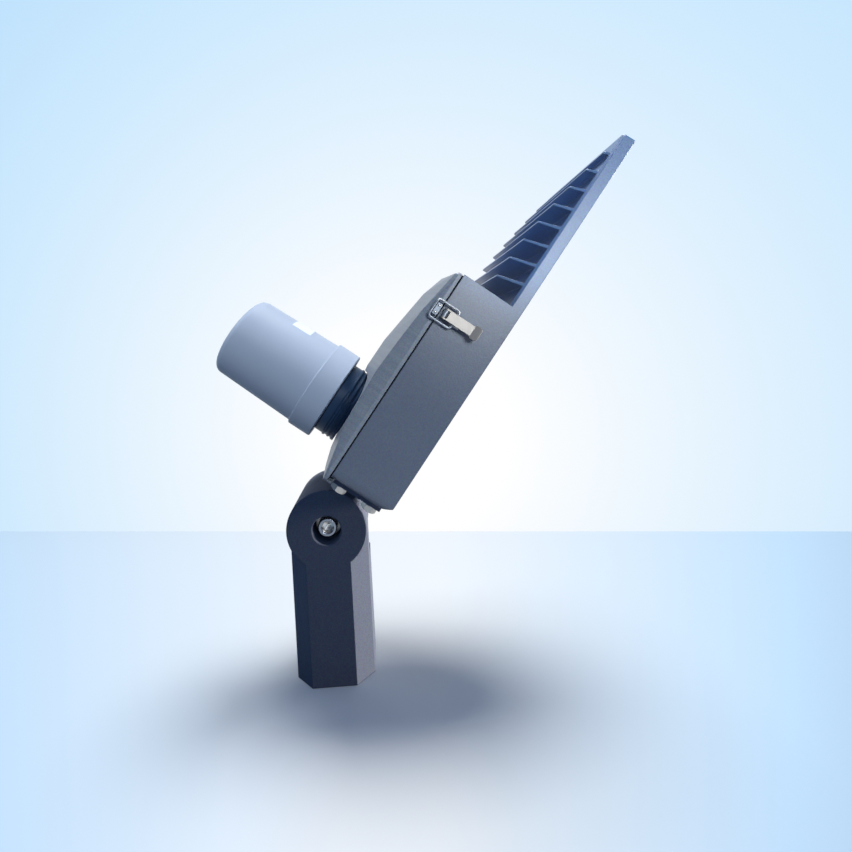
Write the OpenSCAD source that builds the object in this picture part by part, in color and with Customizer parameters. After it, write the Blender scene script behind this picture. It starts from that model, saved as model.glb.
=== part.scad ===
// Smart street light: a tilting LED head on a pole sleeve, with a twist-lock
// controller on the lid of its driver compartment. Millimetres, +Z up the pole.
// The origin is the centre of the sleeve's mouth, and the head leans in +X.

/* [Pole sleeve] */
// Outside diameter of the pole
pole_d = 60; // [56:0.5:62]
// Bore diameter less pole diameter
pole_gap = 1.5; // [0.8:0.1:2.5]
// Wall of the sleeve at its flat faces
sleeve_wall = 5.8; // [5:0.1:7.5]
// Width of the sleeve's corner chamfers, along a face
sleeve_chamfer = 16; // [12:0.5:19]
// Depth of the bore from the mouth
bore_depth = 92; // [70:1:96]
// Diameter of the clamping screws
clamp_screw_d = 8; // [6:1:10]
// Height of the lower clamping screw
clamp_screw_h = 22; // [15:1:28]
// Distance between the clamping screws
clamp_screw_pitch = 42; // [30:1:50]

/* [Tilt knuckle] */
// Height of the tilt pivot above the mouth
pivot_h = 144; // [143:1:180]
// Radius of the two knuckle halves
knuckle_r = 37; // [37:0.5:39]
// Gap between the knuckle halves
knuckle_seam = 0.4; // [0.3:0.1:1]
// Running gap round the knuckle
knuckle_gap = 1.5; // [1:0.1:3]
// Diameter of the pivot bolt
pivot_bolt_d = 12; // [10:1:14]
// Depth of the bolt head's face below the knuckle face
pivot_head_depth = 7; // [3:0.5:8]
// Radial gap round the bolt head, its washer and the nut
pivot_recess_gap = 1.2; // [0.8:0.1:2]
// Diameter of the wire passage
wireway_d = 14; // [10:1:15]
// Pitch of the head above level, in degrees
head_pitch = 53.4; // [0:0.1:90]

/* [Lug flange] */
// Distance from the pivot to the housing's end
pivot_to_housing = 56; // [55:0.5:70]
// Thickness of the flange
flange_t = 6; // [5:0.5:8]
// Width of the flange
flange_w = 134; // [130:1:140]
// Height of the flange's top edge above the pivot
flange_top = 22; // [21:0.5:22]
// Depth of the flange's bottom edge below the pivot
flange_bottom = 25; // [25:0.5:29]
// Diameter of the flange bolts
flange_bolt_d = 8; // [6:1:8]
// Distance between the flange bolts across the width
flange_bolt_y = 112; // [108:1:114]
// Distance between the flange bolts up the flange
flange_bolt_z = 31; // [26:1:31]

/* [Housing] */
// Width of the housing
housing_w = 170; // [160:1:200]
// Length of the driver compartment
box_l = 199.5; // [190:0.5:230]
// Length of the LED head beyond the compartment
head_l = 171.5; // [165:0.5:190]
// Thickness of the housing from the light side to the seam
box_h = 57.1; // [54:1:66]
// Distance from the pivot to the light side
pivot_to_face = 30; // [30:0.5:34]
// Wall of the compartment
box_wall = 3.6; // [3:0.1:5]
// Thickness of the LED head's slab
slab_t = 11.7; // [11:0.1:14]
// Corner radius at the knuckle end
end_r = 11; // [6:0.5:16]
// Corner radius at the tip
tip_r = 2; // [2:0.5:12]
// Chamfer of the rail's upper edge
rail_chamfer = 2; // [1:0.1:3]

/* [Fins] */
// Number of cooling fins
fin_n = 8; // [6:1:9]
// Pitch of the fins
fin_pitch = 18.6; // [17:0.1:18.8]
// Height of the tallest fin above the slab
fin_h = 21.9; // [16:0.1:26]
// Fin thickness at its root
fin_root_t = 2.8; // [2:0.1:4]
// Fin thickness at its edge
fin_edge_t = 1.7; // [1:0.1:2]
// Radius of a fin's upper corners
fin_corner_r = 2.5; // [1:0.1:3]
// Lean of the fins towards the knuckle, in degrees
fin_lean = 10.5; // [0:0.5:12]
// Distance from the compartment to the first fin
fin_start = 20.8; // [20:0.1:24]
// Setback of the tallest fin's ends from the rail
fin_setback = 8; // [4:0.5:14]

/* [Lid] */
// Height of the lid's side wall above the seam at its highest
crest_h = 16.7; // [13:0.1:17]
// Height of the lid's ridge above the seam
ridge_h = 25.4; // [22:0.1:28]
// Height of the receptacle's seat above the seam
seat_h = 14; // [12:0.5:15]
// Gap between the receptacle's neck and the end of its pocket
neck_gap = 4; // [3.5:0.1:8]
// Rim between the pocket and the lid's sides
pocket_rim = 5; // [4:0.5:12]
// Corner radius of the pocket
pocket_r = 25; // [15:1:35]
// Wall of the lid
lid_wall = 3; // [2.5:0.1:4]
// Overhang of the lid past the housing's end
lid_over = 5.5; // [5:0.1:6]
// Thickness of the lid gasket, which is the seam
lid_gasket_t = 1.2; // [0.8:0.1:2]
// Diameter of the lid's hinge pins
hinge_pin_d = 3; // [2.5:0.5:3.5]
// Outside diameter of the hinge barrels
hinge_barrel_d = 7; // [6.5:0.1:7.2]

/* [Controller] */
// Distance from the housing's end to the controller's axis
controller_x = 46; // [45:0.5:50]
// Diameter of the receptacle's neck
neck_d = 74; // [66:0.5:78]
// Height of the receptacle
neck_h = 20.5; // [18:0.5:26]
// Diameter of the controller's base ring
ring_d = 91.5; // [88:0.5:96]
// Height of the base ring
ring_h = 25; // [20:0.5:30]
// Ledge of the base ring outside the controller's body
ring_ledge = 2.25; // [2:0.05:4]
// How much narrower the body is at its shoulder
body_draft = 5; // [4:0.5:8]
// Height of the controller from the receptacle
node_h = 112.5; // [90:1:130]
// Radius of the shoulder
shoulder_r = 7; // [4:0.5:10]
// Wall of the controller
node_wall = 2.5; // [2:0.1:4]
// Turn of the controller from locked to free, in degrees
lock_turn = 35; // [20:1:40]

/* [Latches] */
// Distance from the latches to the compartment's far end
latch_end = 36.3; // [30:0.1:50]
// Width of the latch lever
lever_w = 8.6; // [8:0.1:10]
// Width of the lever's tab
tab_w = 11.8; // [10:0.1:13]
// Length of the lever below its pin
lever_l = 32.9; // [30:0.1:34]
// Depth of the lever's pin below the seam
lever_pin_drop = 4.2; // [4:0.1:5]
// Stand-off of the lever's pin from the housing
lever_pin_out = 4; // [4:0.1:5]
// Distance from the lever's pin to the bail's ends
bail_throw = 9.4; // [8.5:0.1:10]
// Diameter of the bail wire
bail_d = 1.8; // [1.5:0.1:2.2]
// Width of the bail, wire centre to wire centre
bail_w = 16.2; // [15.5:0.1:18]
// Width of the keeper
keeper_w = 10; // [8:0.1:11]
// Height of the keeper
keeper_h = 4.4; // [4:0.1:5]

/* [Light engine] */
// Depth of the recess that holds the light engine
engine_depth = 6.6; // [6.2:0.1:7]
// Border of the head round the recess
engine_border = 8; // [7:0.5:12]
// Thickness of the LED board
board_t = 1.6; // [1:0.1:2]
// Thickness of the lens plate
lens_t = 2.6; // [2:0.1:3]
// Rows of lenses along the head
lens_rows = 6; // [4:1:6]
// Lenses in each row
lens_cols = 5; // [3:1:6]
// Radius of one lens
lens_r = 8; // [6:0.5:9]

/* [Driver compartment] */
// Gap between the LED driver and the compartment's far wall
driver_end_gap = 5.9; // [3:0.1:20]
// Width of the LED driver
driver_w = 62; // [50:1:66]
// Height of the LED driver
driver_h = 34; // [26:1:40]
// Distance from the compartment's end to the LED driver
driver_start = 62; // [60:1:66]
// Gap between the driver and the side wall
driver_gap = 6; // [4:0.5:8]
// Length of the surge protector
surge_l = 55; // [50:1:55]
// Width of the surge protector
surge_w = 36; // [30:1:36]
// Height of the surge protector
surge_h = 30; // [24:1:34]
// Distance from the compartment's end to the surge protector
surge_start = 110; // [106:1:115]
// Length of the terminal block, across the head
terminal_l = 48; // [40:1:50]
// Width of the terminal block
terminal_w = 20; // [16:1:22]
// Height of the terminal block
terminal_h = 18; // [14:1:20]
// Distance from the compartment's end to the terminal block
terminal_start = 72; // [66:1:76]
// Gap between the terminal block and the side wall
terminal_gap = 11.5; // [10:0.5:14]

/* [Hidden] */
$fn = 64;
cut = 1;            // overrun of a cut past a face
slide_gap = 0.3;    // gap between pieces that move or slide
thread_gap = 0.1;   // radial gap at a threaded or pressed seat
run_gap = 0.08;     // radial gap round a pin that a piece turns on

bore_d = pole_d + pole_gap;
sleeve_w = bore_d + 2 * sleeve_wall;
half = sleeve_w / 2;
sleeve_top = pivot_h - knuckle_r - knuckle_gap;
clamp_hex = 1.63 * clamp_screw_d;
clamp_head_t = 0.66 * clamp_screw_d;

pivot_head_d = 1.5 * pivot_bolt_d;
pivot_head_h = pivot_bolt_d;
pivot_washer_d = 2 * pivot_bolt_d;
pivot_washer_t = 0.2 * pivot_bolt_d;
pivot_nut_d = 1.75 * pivot_bolt_d;
pivot_nut_h = 0.9 * pivot_bolt_d;
pivot_hole_d = pivot_bolt_d + 1;
recess_r = pivot_washer_d / 2 + pivot_recess_gap;
recess_edge = 0.8;   // chamfer at the mouth of the bolt's recess
head_seat = half - pivot_head_depth - pivot_head_h - pivot_washer_t;
nut_seat = half - pivot_nut_h - pivot_washer_t - 0.6;
wire_ring_r = recess_r + wireway_d / 2;

flange_h = flange_top + flange_bottom;
flange_x = pivot_to_housing - flange_t;
bolt_mid = (flange_top - flange_bottom) / 2;
bolt_hex = 1.85 * flange_bolt_d;
bolt_head_t = 0.68 * flange_bolt_d;
washer_t = 0.2 * flange_bolt_d;
washer_d = 2 * flange_bolt_d;
boss_l = 1.6 * flange_bolt_d;

box_x = pivot_to_housing;
box_end = box_x + box_l;
tip_x = box_end + head_l;
face_z = -pivot_to_face;
seam_z = face_z + box_h;
slab_z = face_z + slab_t;
inner_r = max(end_r - box_wall, 1);
floor_z = face_z + box_wall + 1;
toe = [7, 9.5];      // chamfer under the knuckle end, along and up
wall_end_x = box_end - box_wall;
fin_x0 = box_end + fin_start;

lid_z = seam_z + lid_gasket_t;
seat_z = seam_z + seat_h;
barrel_y = [20, 29, 43, 52];    // ends of the outer, middle and outer barrels
lip_gap = 0.7;                  // gap between the hinge and the flange below it
hinge_x = box_x - 4.2;
hinge_z = flange_top + hinge_barrel_d / 2 + lip_gap;
lid_x = box_x - lid_over;
lip_z = hinge_z - 3;
lip_y = barrel_y[3] + 2;        // inner end of the lid's lips

node_d = ring_d - 2 * ring_ledge;
node_top_d = node_d - body_draft;
ctl_x = box_x + controller_x;
ctl_z = seat_z + neck_h;
step_x = ctl_x + neck_d / 2 + neck_gap;
pocket_w = housing_w - 2 * pocket_rim;
blade_r = 17;
blade_t = 1.6;
blade_l = 13;
blade_arc = 40;
contact_d = 3;
contact_l = 8;
neck_screw_d = 4;
neck_screw_grip = 8;
neck_screw_inset = 10;
neck_bore_d = 40;    // hole in the lid under the receptacle

latch_mid = box_end - latch_end;
pin_z = seam_z - lever_pin_drop;
lever_t = 1.5;
lever_flange_t = 1.1;
tab_flare = 22;      // lift of the tab off the wall, in degrees
lever_y = lever_pin_out;
latch_pin_d = 2.4;
bail_top = lid_z + keeper_h + bail_d / 2;
bail_y = lever_pin_out;

engine_x0 = box_end + engine_border;
wire_slot_w = 14;    // passage for the wires from the compartment to the LED board
wire_slot_h = 5;
wire_slot_reach = 8;
engine_l = head_l - 2 * engine_border;
engine_w = housing_w - 2 * engine_border;
engine_roof = face_z + engine_depth;
board_w = engine_w - 20;
board_l = engine_l - 20;
gasket_t = 1.6;
lens_z = engine_roof - board_t - gasket_t;

cast_grey = "#465468";
lid_grey = "#5a6a80";
steel = "#b9b4ab";
brass = "#c2a04e";
rubber = "#17191c";

// Place children in the head's frame: x along it, z out of the lid, pivot at 0.
module on_head() {
    translate([0, 0, pivot_h]) rotate([0, -head_pitch, 0]) children();
}

module octagon() {
    a = half;
    b = half - sleeve_chamfer;
    polygon([[-b, -a], [b, -a], [a, -b], [a, b], [b, a], [-b, a], [-a, b], [-a, -b]]);
}

// A disc along -y from y = 0, with its far edge broken.
module edged_disc(r, h, edge) {
    rotate([90, 0, 0]) rotate_extrude()
        polygon([[0, 0], [r, 0], [r, h - edge], [r - edge, h], [0, h]]);
}

// A rounded plate: corner radius r0 at its low x end and r1 at its high x end.
module rounded_plate(x0, x1, w, h, r0, r1) {
    linear_extrude(h) {
        translate([x0 + r0, -w / 2]) square([x1 - r1 - x0 - r0, w]);
        translate([x0, -w / 2 + r0]) square([r0 + r1, w - 2 * r0]);
        translate([x1 - r0 - r1, -w / 2 + r1]) square([r0 + r1, w - 2 * r1]);
        for (s = [-1, 1]) {
            translate([x0 + r0, s * (w / 2 - r0)]) circle(r0);
            translate([x1 - r1, s * (w / 2 - r1)]) circle(r1);
        }
    }
}

// A hexagon head screw along +x with its seat at x = 0.
module hex_screw(d, len, hex, head) {
    rotate([0, 90, 0]) {
        cylinder(d = d, h = len);
        translate([0, 0, -head]) cylinder(d = hex, h = head, $fn = 6);
    }
}

module washer(d, hole, t) {
    difference() {
        cylinder(d = d, h = t);
        translate([0, 0, -cut]) cylinder(d = hole, h = t + 2 * cut);
    }
}

module at_clamp_screws() {
    for (k = [0, 1])
        translate([0, 0, clamp_screw_h + k * clamp_screw_pitch]) children();
}

// The cast sleeve with the near half of the knuckle.
module pole_sleeve() {
    color(cast_grey) difference() {
        union() {
            linear_extrude(sleeve_top) octagon();
            intersection() {
                linear_extrude(pivot_h) octagon();
                translate([-half, -half, 0]) cube([sleeve_w, half - knuckle_seam / 2, pivot_h]);
            }
            translate([0, -knuckle_seam / 2, pivot_h])
                edged_disc(knuckle_r, half - knuckle_seam / 2, 0.8);
        }
        translate([0, 0, -cut]) cylinder(d = bore_d, h = bore_depth + cut);
        translate([0, 0, pivot_h]) rotate([90, 0, 0]) {
            translate([0, 0, -cut]) cylinder(d = pivot_hole_d, h = half + 2 * cut);
            translate([0, 0, head_seat]) cylinder(r = recess_r, h = half);
            translate([0, 0, half - recess_edge])
                cylinder(r1 = recess_r, r2 = recess_r + recess_edge + cut, h = recess_edge + cut);
        }
        translate([0, -wireway_d, bore_depth - cut])
            cylinder(d = wireway_d, h = pivot_h - wire_ring_r - bore_depth + cut);
        translate([0, cut, pivot_h - wire_ring_r]) rotate([90, 0, 0])
            cylinder(d = wireway_d, h = wireway_d + cut);
        at_clamp_screws() rotate([-90, 0, 0]) cylinder(d = clamp_screw_d + 2 * thread_gap, h = half + cut);
    }
}

module clamp_screws() {
    reach = half - bore_d / 2 - slide_gap;
    color(steel) at_clamp_screws() translate([0, half, 0]) rotate([0, 0, -90])
        hex_screw(clamp_screw_d, reach, clamp_hex, clamp_head_t);
}

// Cap screw across the knuckle, with a hexagon socket in its head.
module pivot_bolt() {
    shank = head_seat + pivot_washer_t + nut_seat + pivot_washer_t + pivot_nut_h;
    top = head_seat + pivot_washer_t;
    color(steel) translate([0, 0, pivot_h]) rotate([90, 0, 0]) difference() {
        union() {
            translate([0, 0, top]) rotate_extrude() polygon([[0, 0], [pivot_head_d / 2, 0],
                [pivot_head_d / 2, pivot_head_h - 1], [pivot_head_d / 2 - 1, pivot_head_h], [0, pivot_head_h]]);
            translate([0, 0, top - shank]) cylinder(d = pivot_bolt_d, h = shank + cut);
        }
        translate([0, 0, top + pivot_head_h / 2])
            cylinder(d = pivot_bolt_d * 0.96, h = pivot_head_h, $fn = 6);
    }
}

module pivot_washers() {
    color(steel) translate([0, 0, pivot_h]) rotate([90, 0, 0]) {
        translate([0, 0, head_seat]) washer(pivot_washer_d, pivot_hole_d, pivot_washer_t);
        translate([0, 0, -nut_seat - pivot_washer_t]) washer(pivot_washer_d, pivot_hole_d, pivot_washer_t);
    }
}

module pivot_nut() {
    color(steel) translate([0, 0, pivot_h]) rotate([90, 0, 0])
        translate([0, 0, -nut_seat - pivot_washer_t - pivot_nut_h]) difference() {
            cylinder(d = pivot_nut_d, h = pivot_nut_h, $fn = 6);
            translate([0, 0, -cut])
                cylinder(d = pivot_bolt_d + 2 * thread_gap, h = pivot_nut_h + 2 * cut);
        }
}

module at_flange_bolts() {
    for (sy = [-1, 1], sz = [-1, 1])
        translate([flange_x, sy * flange_bolt_y / 2, bolt_mid + sz * flange_bolt_z / 2]) children();
}

// The far half of the knuckle with its flange, which the head is bolted to.
module tilt_lug() {
    color(cast_grey) on_head() difference() {
        union() {
            mirror([0, 1, 0]) translate([0, -knuckle_seam / 2, 0])
                edged_disc(knuckle_r, half - knuckle_seam / 2, 0.8);
            translate([0, knuckle_seam / 2, -flange_bottom])
                cube([flange_x + cut, half - knuckle_seam / 2, flange_h]);
            translate([flange_x, -flange_w / 2, -flange_bottom]) cube([flange_t, flange_w, flange_h]);
        }
        rotate([-90, 0, 0]) cylinder(d = pivot_hole_d, h = half + cut);
        rotate([-90, 0, 0]) translate([0, 0, nut_seat]) cylinder(r = recess_r, h = half);
        rotate([-90, 0, 0]) rotate_extrude() translate([wire_ring_r - wireway_d / 2, -cut])
            square([wireway_d - 1, wireway_d * 0.7 + cut]);
        translate([wire_ring_r, half / 2, 0]) rotate([0, 90, 0])
            cylinder(d = wireway_d, h = pivot_to_housing);
        at_flange_bolts() translate([-cut, 0, 0]) rotate([0, 90, 0])
            cylinder(d = flange_bolt_d + 1, h = flange_t + 2 * cut);
    }
}

module flange_bolts() {
    color(steel) on_head() at_flange_bolts() translate([-washer_t, 0, 0])
        hex_screw(flange_bolt_d, washer_t + flange_t + boss_l - 2, bolt_hex, bolt_head_t);
}

module flange_washers() {
    color(steel) on_head() at_flange_bolts() translate([-washer_t, 0, 0]) rotate([0, 90, 0])
        washer(washer_d, flange_bolt_d + 2 * thread_gap, washer_t);
}

function fin_top(x) = fin_h * (1 - pow(max(x - fin_x0, 0) / (tip_x - fin_x0), 1.7));

// End view of a fin of height t, with sloping ends and rounded upper corners.
module fin_outline(t) {
    slope = fin_setback / fin_h;
    base = housing_w / 2 - rail_chamfer;
    r = min(fin_corner_r, 0.45 * t);
    yc = base - slope * (t - r) - r * sqrt(1 + slope * slope);
    a0 = atan(slope);
    arc = [for (i = [0 : 4]) let (a = a0 + i * (90 - a0) / 4) [yc + r * cos(a), t - r + r * sin(a)]];
    polygon(concat([[base, -cut], [base, 0]], arc, [for (i = [4 : -1 : 0]) [-arc[i][0], arc[i][1]]],
        [[-base, 0], [-base, -cut]]));
}

// Transverse fins: drafted blades that lean towards the knuckle.
module fins() {
    for (k = [0 : fin_n - 1]) {
        x = fin_x0 + k * fin_pitch;
        t = fin_top(x);
        lean = t * tan(fin_lean);
        translate([x, 0, slab_z]) intersection() {
            translate([0, housing_w / 2, 0]) rotate([90, 0, 0]) linear_extrude(housing_w)
                polygon([[-fin_root_t / 2, -cut], [fin_root_t / 2, -cut],
                    [fin_edge_t / 2 - lean, t + cut / 2], [-fin_edge_t / 2 - lean, t + cut / 2]]);
            translate([-lean - fin_root_t, 0, 0]) rotate([90, 0, 90])
                linear_extrude(lean + 2 * fin_root_t) fin_outline(t);
        }
    }
}

// Side view of the housing: compartment, slab and chamfered toe.
module housing_profile() {
    rotate([90, 0, 0]) translate([0, 0, -housing_w / 2]) linear_extrude(housing_w)
        polygon([[box_x + toe[0], face_z], [tip_x, face_z], [tip_x - 1.5, slab_z], [box_end, slab_z],
            [box_end, seam_z], [box_x, seam_z], [box_x, face_z + toe[1]]]);
}

module hinge_barrel(y0, y1) {
    translate([hinge_x, y0, hinge_z]) rotate([-90, 0, 0]) cylinder(d = hinge_barrel_d, h = y1 - y0);
}

module at_lens_screws() {
    inset = engine_border + 5;
    for (k = [0 : 3], s = [-1, 1])
        translate([box_end + inset + k * (head_l - 2 * inset) / 3, s * (housing_w / 2 - inset), face_z]) children();
}

// The cast body: open compartment, LED slab with fins, hinge ears and bosses.
module housing() {
    color(cast_grey) on_head() difference() {
        union() {
            difference() {
                intersection() {
                    housing_profile();
                    translate([0, 0, face_z - cut])
                        rounded_plate(box_x, tip_x, housing_w, box_h + 2 * cut, end_r, tip_r);
                }
                translate([0, 0, floor_z])
                    rounded_plate(box_x + box_wall, wall_end_x, housing_w - 2 * box_wall, box_h, inner_r, inner_r);
                for (s = [-1, 1]) translate([box_end, s * housing_w / 2, slab_z]) rotate([45, 0, 0])
                    translate([0, -rail_chamfer / sqrt(2), -rail_chamfer / sqrt(2)])
                        cube([head_l + cut, rail_chamfer * sqrt(2), rail_chamfer * sqrt(2)]);
            }
            fins();
            at_flange_bolts() translate([flange_t, 0, 0]) rotate([0, 90, 0])
                cylinder(d = 2 * flange_bolt_d, h = boss_l);
            for (s = [-1, 1], k = [0, 2]) {
                y0 = s > 0 ? barrel_y[k] : -barrel_y[k + 1];
                hinge_barrel(y0, y0 + barrel_y[k + 1] - barrel_y[k]);
                translate([hinge_x, y0, hinge_z - hinge_barrel_d / 2])
                    cube([box_x - hinge_x + 1, barrel_y[k + 1] - barrel_y[k], hinge_barrel_d / 2]);
            }
        }
        at_flange_bolts() translate([flange_t - cut, 0, 0]) rotate([0, 90, 0])
            cylinder(d = flange_bolt_d + 2 * thread_gap, h = boss_l + 2 * cut);
        translate([box_x - cut, half / 2, 0]) rotate([0, 90, 0])
            cylinder(d = wireway_d + 4, h = box_wall + 2 * cut);
        for (s = [-1, 1]) translate([hinge_x, s > 0 ? barrel_y[0] - cut : -barrel_y[3] - cut, hinge_z])
            rotate([-90, 0, 0]) cylinder(d = hinge_pin_d + 2 * thread_gap, h = barrel_y[3] - barrel_y[0] + 2 * cut);
        translate([engine_x0, -engine_w / 2, face_z - cut]) cube([engine_l, engine_w, engine_depth + cut]);
        translate([wall_end_x - cut, -wire_slot_w / 2, floor_z])
            cube([engine_x0 + wire_slot_reach - wall_end_x, wire_slot_w, wire_slot_h]);
        at_lens_screws() cylinder(d = 3.4, h = engine_depth + 3);
        at_driver_screws() translate([0, 0, -foot_screw_grip - 0.5])
            cylinder(d = foot_screw_d + 2 * thread_gap, h = foot_screw_grip + foot_t);
    }
}

module wire_grommet() {
    d = wireway_d + 4;
    color(rubber) on_head() translate([box_x, half / 2, 0]) rotate([0, 90, 0]) difference() {
        union() {
            translate([0, 0, slide_gap]) cylinder(d = d - 0.4, h = box_wall);
            translate([0, 0, box_wall + 0.1]) cylinder(d = d + 4, h = 2);
        }
        translate([0, 0, -cut]) cylinder(d = wireway_d - 4, h = box_wall + 4);
    }
}

driver_x = box_x + driver_start;
driver_l = wall_end_x - driver_x - driver_end_gap;
foot_l = 10;         // length of the driver's foot
foot_t = 2.5;        // thickness of its foot
foot_screw_d = 3.2;
foot_screw_grip = 2.5;
driver_y = -housing_w / 2 + box_wall + driver_gap + driver_w / 2;
surge_y = housing_w / 2 - box_wall - terminal_gap - surge_w / 2;
module at_driver_screws() {
    for (s = [-1, 1])
        translate([driver_x + driver_l / 2 + s * (driver_l - foot_l) / 2, driver_y, floor_z]) children();
}

// Potted driver in a case with mounting feet at its ends.
module led_driver() {
    color("#c8ccd0") on_head() difference() {
        translate([0, driver_y, floor_z]) {
            rounded_plate(driver_x, driver_x + driver_l, driver_w * 0.5, foot_t, 4, 4);
            rounded_plate(driver_x + foot_l, driver_x + driver_l - foot_l, driver_w, driver_h, 3, 3);
        }
        at_driver_screws() translate([0, 0, -cut]) cylinder(d = foot_screw_d + 1, h = foot_t + 2 * cut);
    }
}

module pan_screw(d, len) {
    translate([0, 0, -len]) cylinder(d = d, h = len + cut);
    rotate_extrude() polygon([[0, 0], [d, 0], [d, d * 0.35], [d * 0.7, d * 0.62], [0, d * 0.62]]);
}

module driver_screws() {
    color(steel) on_head() at_driver_screws() translate([0, 0, foot_t])
        pan_screw(foot_screw_d, foot_t + foot_screw_grip);
}

module surge_protector() {
    color("#2b2e33") on_head() translate([0, surge_y, floor_z])
        rounded_plate(box_x + surge_start, box_x + surge_start + surge_l, surge_w, surge_h, 3, 3);
}

module terminal_block() {
    y0 = housing_w / 2 - box_wall - terminal_gap - terminal_l;
    step = terminal_l / 5;
    color("#d9d9d2") on_head() translate([box_x + terminal_start, y0, floor_z]) difference() {
        cube([terminal_w, terminal_l, terminal_h]);
        for (k = [0 : 4])
            translate([terminal_w / 4, step * (k + 0.5), terminal_h / 2]) cylinder(d = step * 0.52, h = terminal_h);
    }
}

module led_board() {
    color("#e8ebe6") on_head() translate([0, 0, engine_roof - board_t])
        rounded_plate(engine_x0 + 10, engine_x0 + 10 + board_l, board_w, board_t, 3, 3);
}

module at_lenses() {
    step_x2 = (board_l - 2 * lens_r - 4) / (lens_rows - 1);
    step_y = (board_w - 2 * lens_r - 4) / (lens_cols - 1);
    for (i = [0 : lens_rows - 1], j = [0 : lens_cols - 1])
        translate([engine_x0 + 12 + lens_r + i * step_x2, -board_w / 2 + 2 + lens_r + j * step_y, 0]) children();
}

module led_chips() {
    color("#f1d35a") on_head() at_lenses() translate([-1.75, -1.75, engine_roof - board_t - 0.8])
        cube([3.5, 3.5, 0.8]);
}

module lens_gasket() {
    color(rubber) on_head() translate([0, 0, lens_z]) difference() {
        rounded_plate(engine_x0 + 1, engine_x0 + engine_l - 1, engine_w - 2, board_t + gasket_t, 2, 2);
        translate([0, 0, -cut])
            rounded_plate(engine_x0 + 9.5, engine_x0 + engine_l - 9.5, engine_w - 19, 8, 2, 2);
        translate([0, 0, -lens_z]) at_lens_screws() cylinder(d = 4.4, h = 12);
    }
}

// Clear plate with a moulded lens over each chip.
module lens_plate() {
    color("#dfe8ee") on_head() difference() {
        union() {
            translate([0, 0, lens_z - lens_t])
                rounded_plate(engine_x0 + 0.6, engine_x0 + engine_l - 0.6, engine_w - 1.2, lens_t, 2, 2);
            at_lenses() translate([0, 0, lens_z - lens_t]) rotate([180, 0, 0])
                rotate_extrude($fn = 32) polygon([[0, -cut], [lens_r, -cut], [lens_r, 0.6],
                    [lens_r * 0.85, 2.6], [lens_r * 0.5, 3.9], [0, 4.3]]);
        }
        at_lens_screws() translate([0, 0, -cut]) cylinder(d = 4.2, h = 12);
    }
}

module lens_screws() {
    color(steel) on_head() at_lens_screws() translate([0, 0, lens_z - lens_t - face_z])
        rotate([180, 0, 0]) pan_screw(3.2, engine_depth - 0.4);
}

module lid_gasket() {
    color(rubber) on_head() translate([0, 0, seam_z]) difference() {
        rounded_plate(box_x + 0.8, box_end - 0.8, housing_w - 1.6, lid_gasket_t, end_r - 0.8, 3.2);
        translate([0, 0, -cut])
            rounded_plate(box_x + box_wall, wall_end_x, housing_w - 2 * box_wall, 5, inner_r, inner_r);
    }
}

module lid_hinge_pins() {
    len = barrel_y[3] - barrel_y[0];
    color(steel) on_head() for (s = [-1, 1])
        translate([hinge_x, s > 0 ? barrel_y[0] : -barrel_y[3], hinge_z])
            rotate([-90, 0, 0]) cylinder(d = hinge_pin_d, h = len);
}

// Crowned lid form, taken in by d on every side.
module lid_form(d) {
    w = housing_w / 2;
    l = box_end - lid_x - 2 * d;
    hull() {
        translate([0, 0, lid_z - (d > 0 ? cut : 0)])
            rounded_plate(lid_x + d, box_end - d, housing_w - 2 * d, 3, max(end_r - d, 1), 4);
        for (s = [-1, 1]) {
            for (q = [[-0.01, 0.27], [0.109, 0.56], [0.228, 0.85], [0.364, 0.94], [0.479, 1],
                    [0.628, 0.91], [0.79, 0.76], [0.985, 0.4]])
                translate([box_x + (box_l - 2 * d) * q[0] + d, s * (w - 2.4 - d), seam_z + crest_h * q[1] - d])
                    cube([0.1, 0.1, 0.2], center = true);
            for (q = [[-0.015, 0.29], [0.06, 0.47], [0.46, 1], [0.6, 0.99], [0.87, 0.73], [0.975, 0.486]])
                translate([box_x + (box_l - 2 * d) * q[0] + d, s * w * 0.5, seam_z + ridge_h * q[1] - d])
                    cube([0.1, 0.1, 0.2], center = true);
        }
    }
}

// Pocket round the receptacle, open at the knuckle end, grown by d.
module pocket(d) {
    translate([0, 0, seat_z - d])
        rounded_plate(lid_x - 20, step_x + d, pocket_w + 2 * d, ridge_h, 3, pocket_r + d);
}

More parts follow.
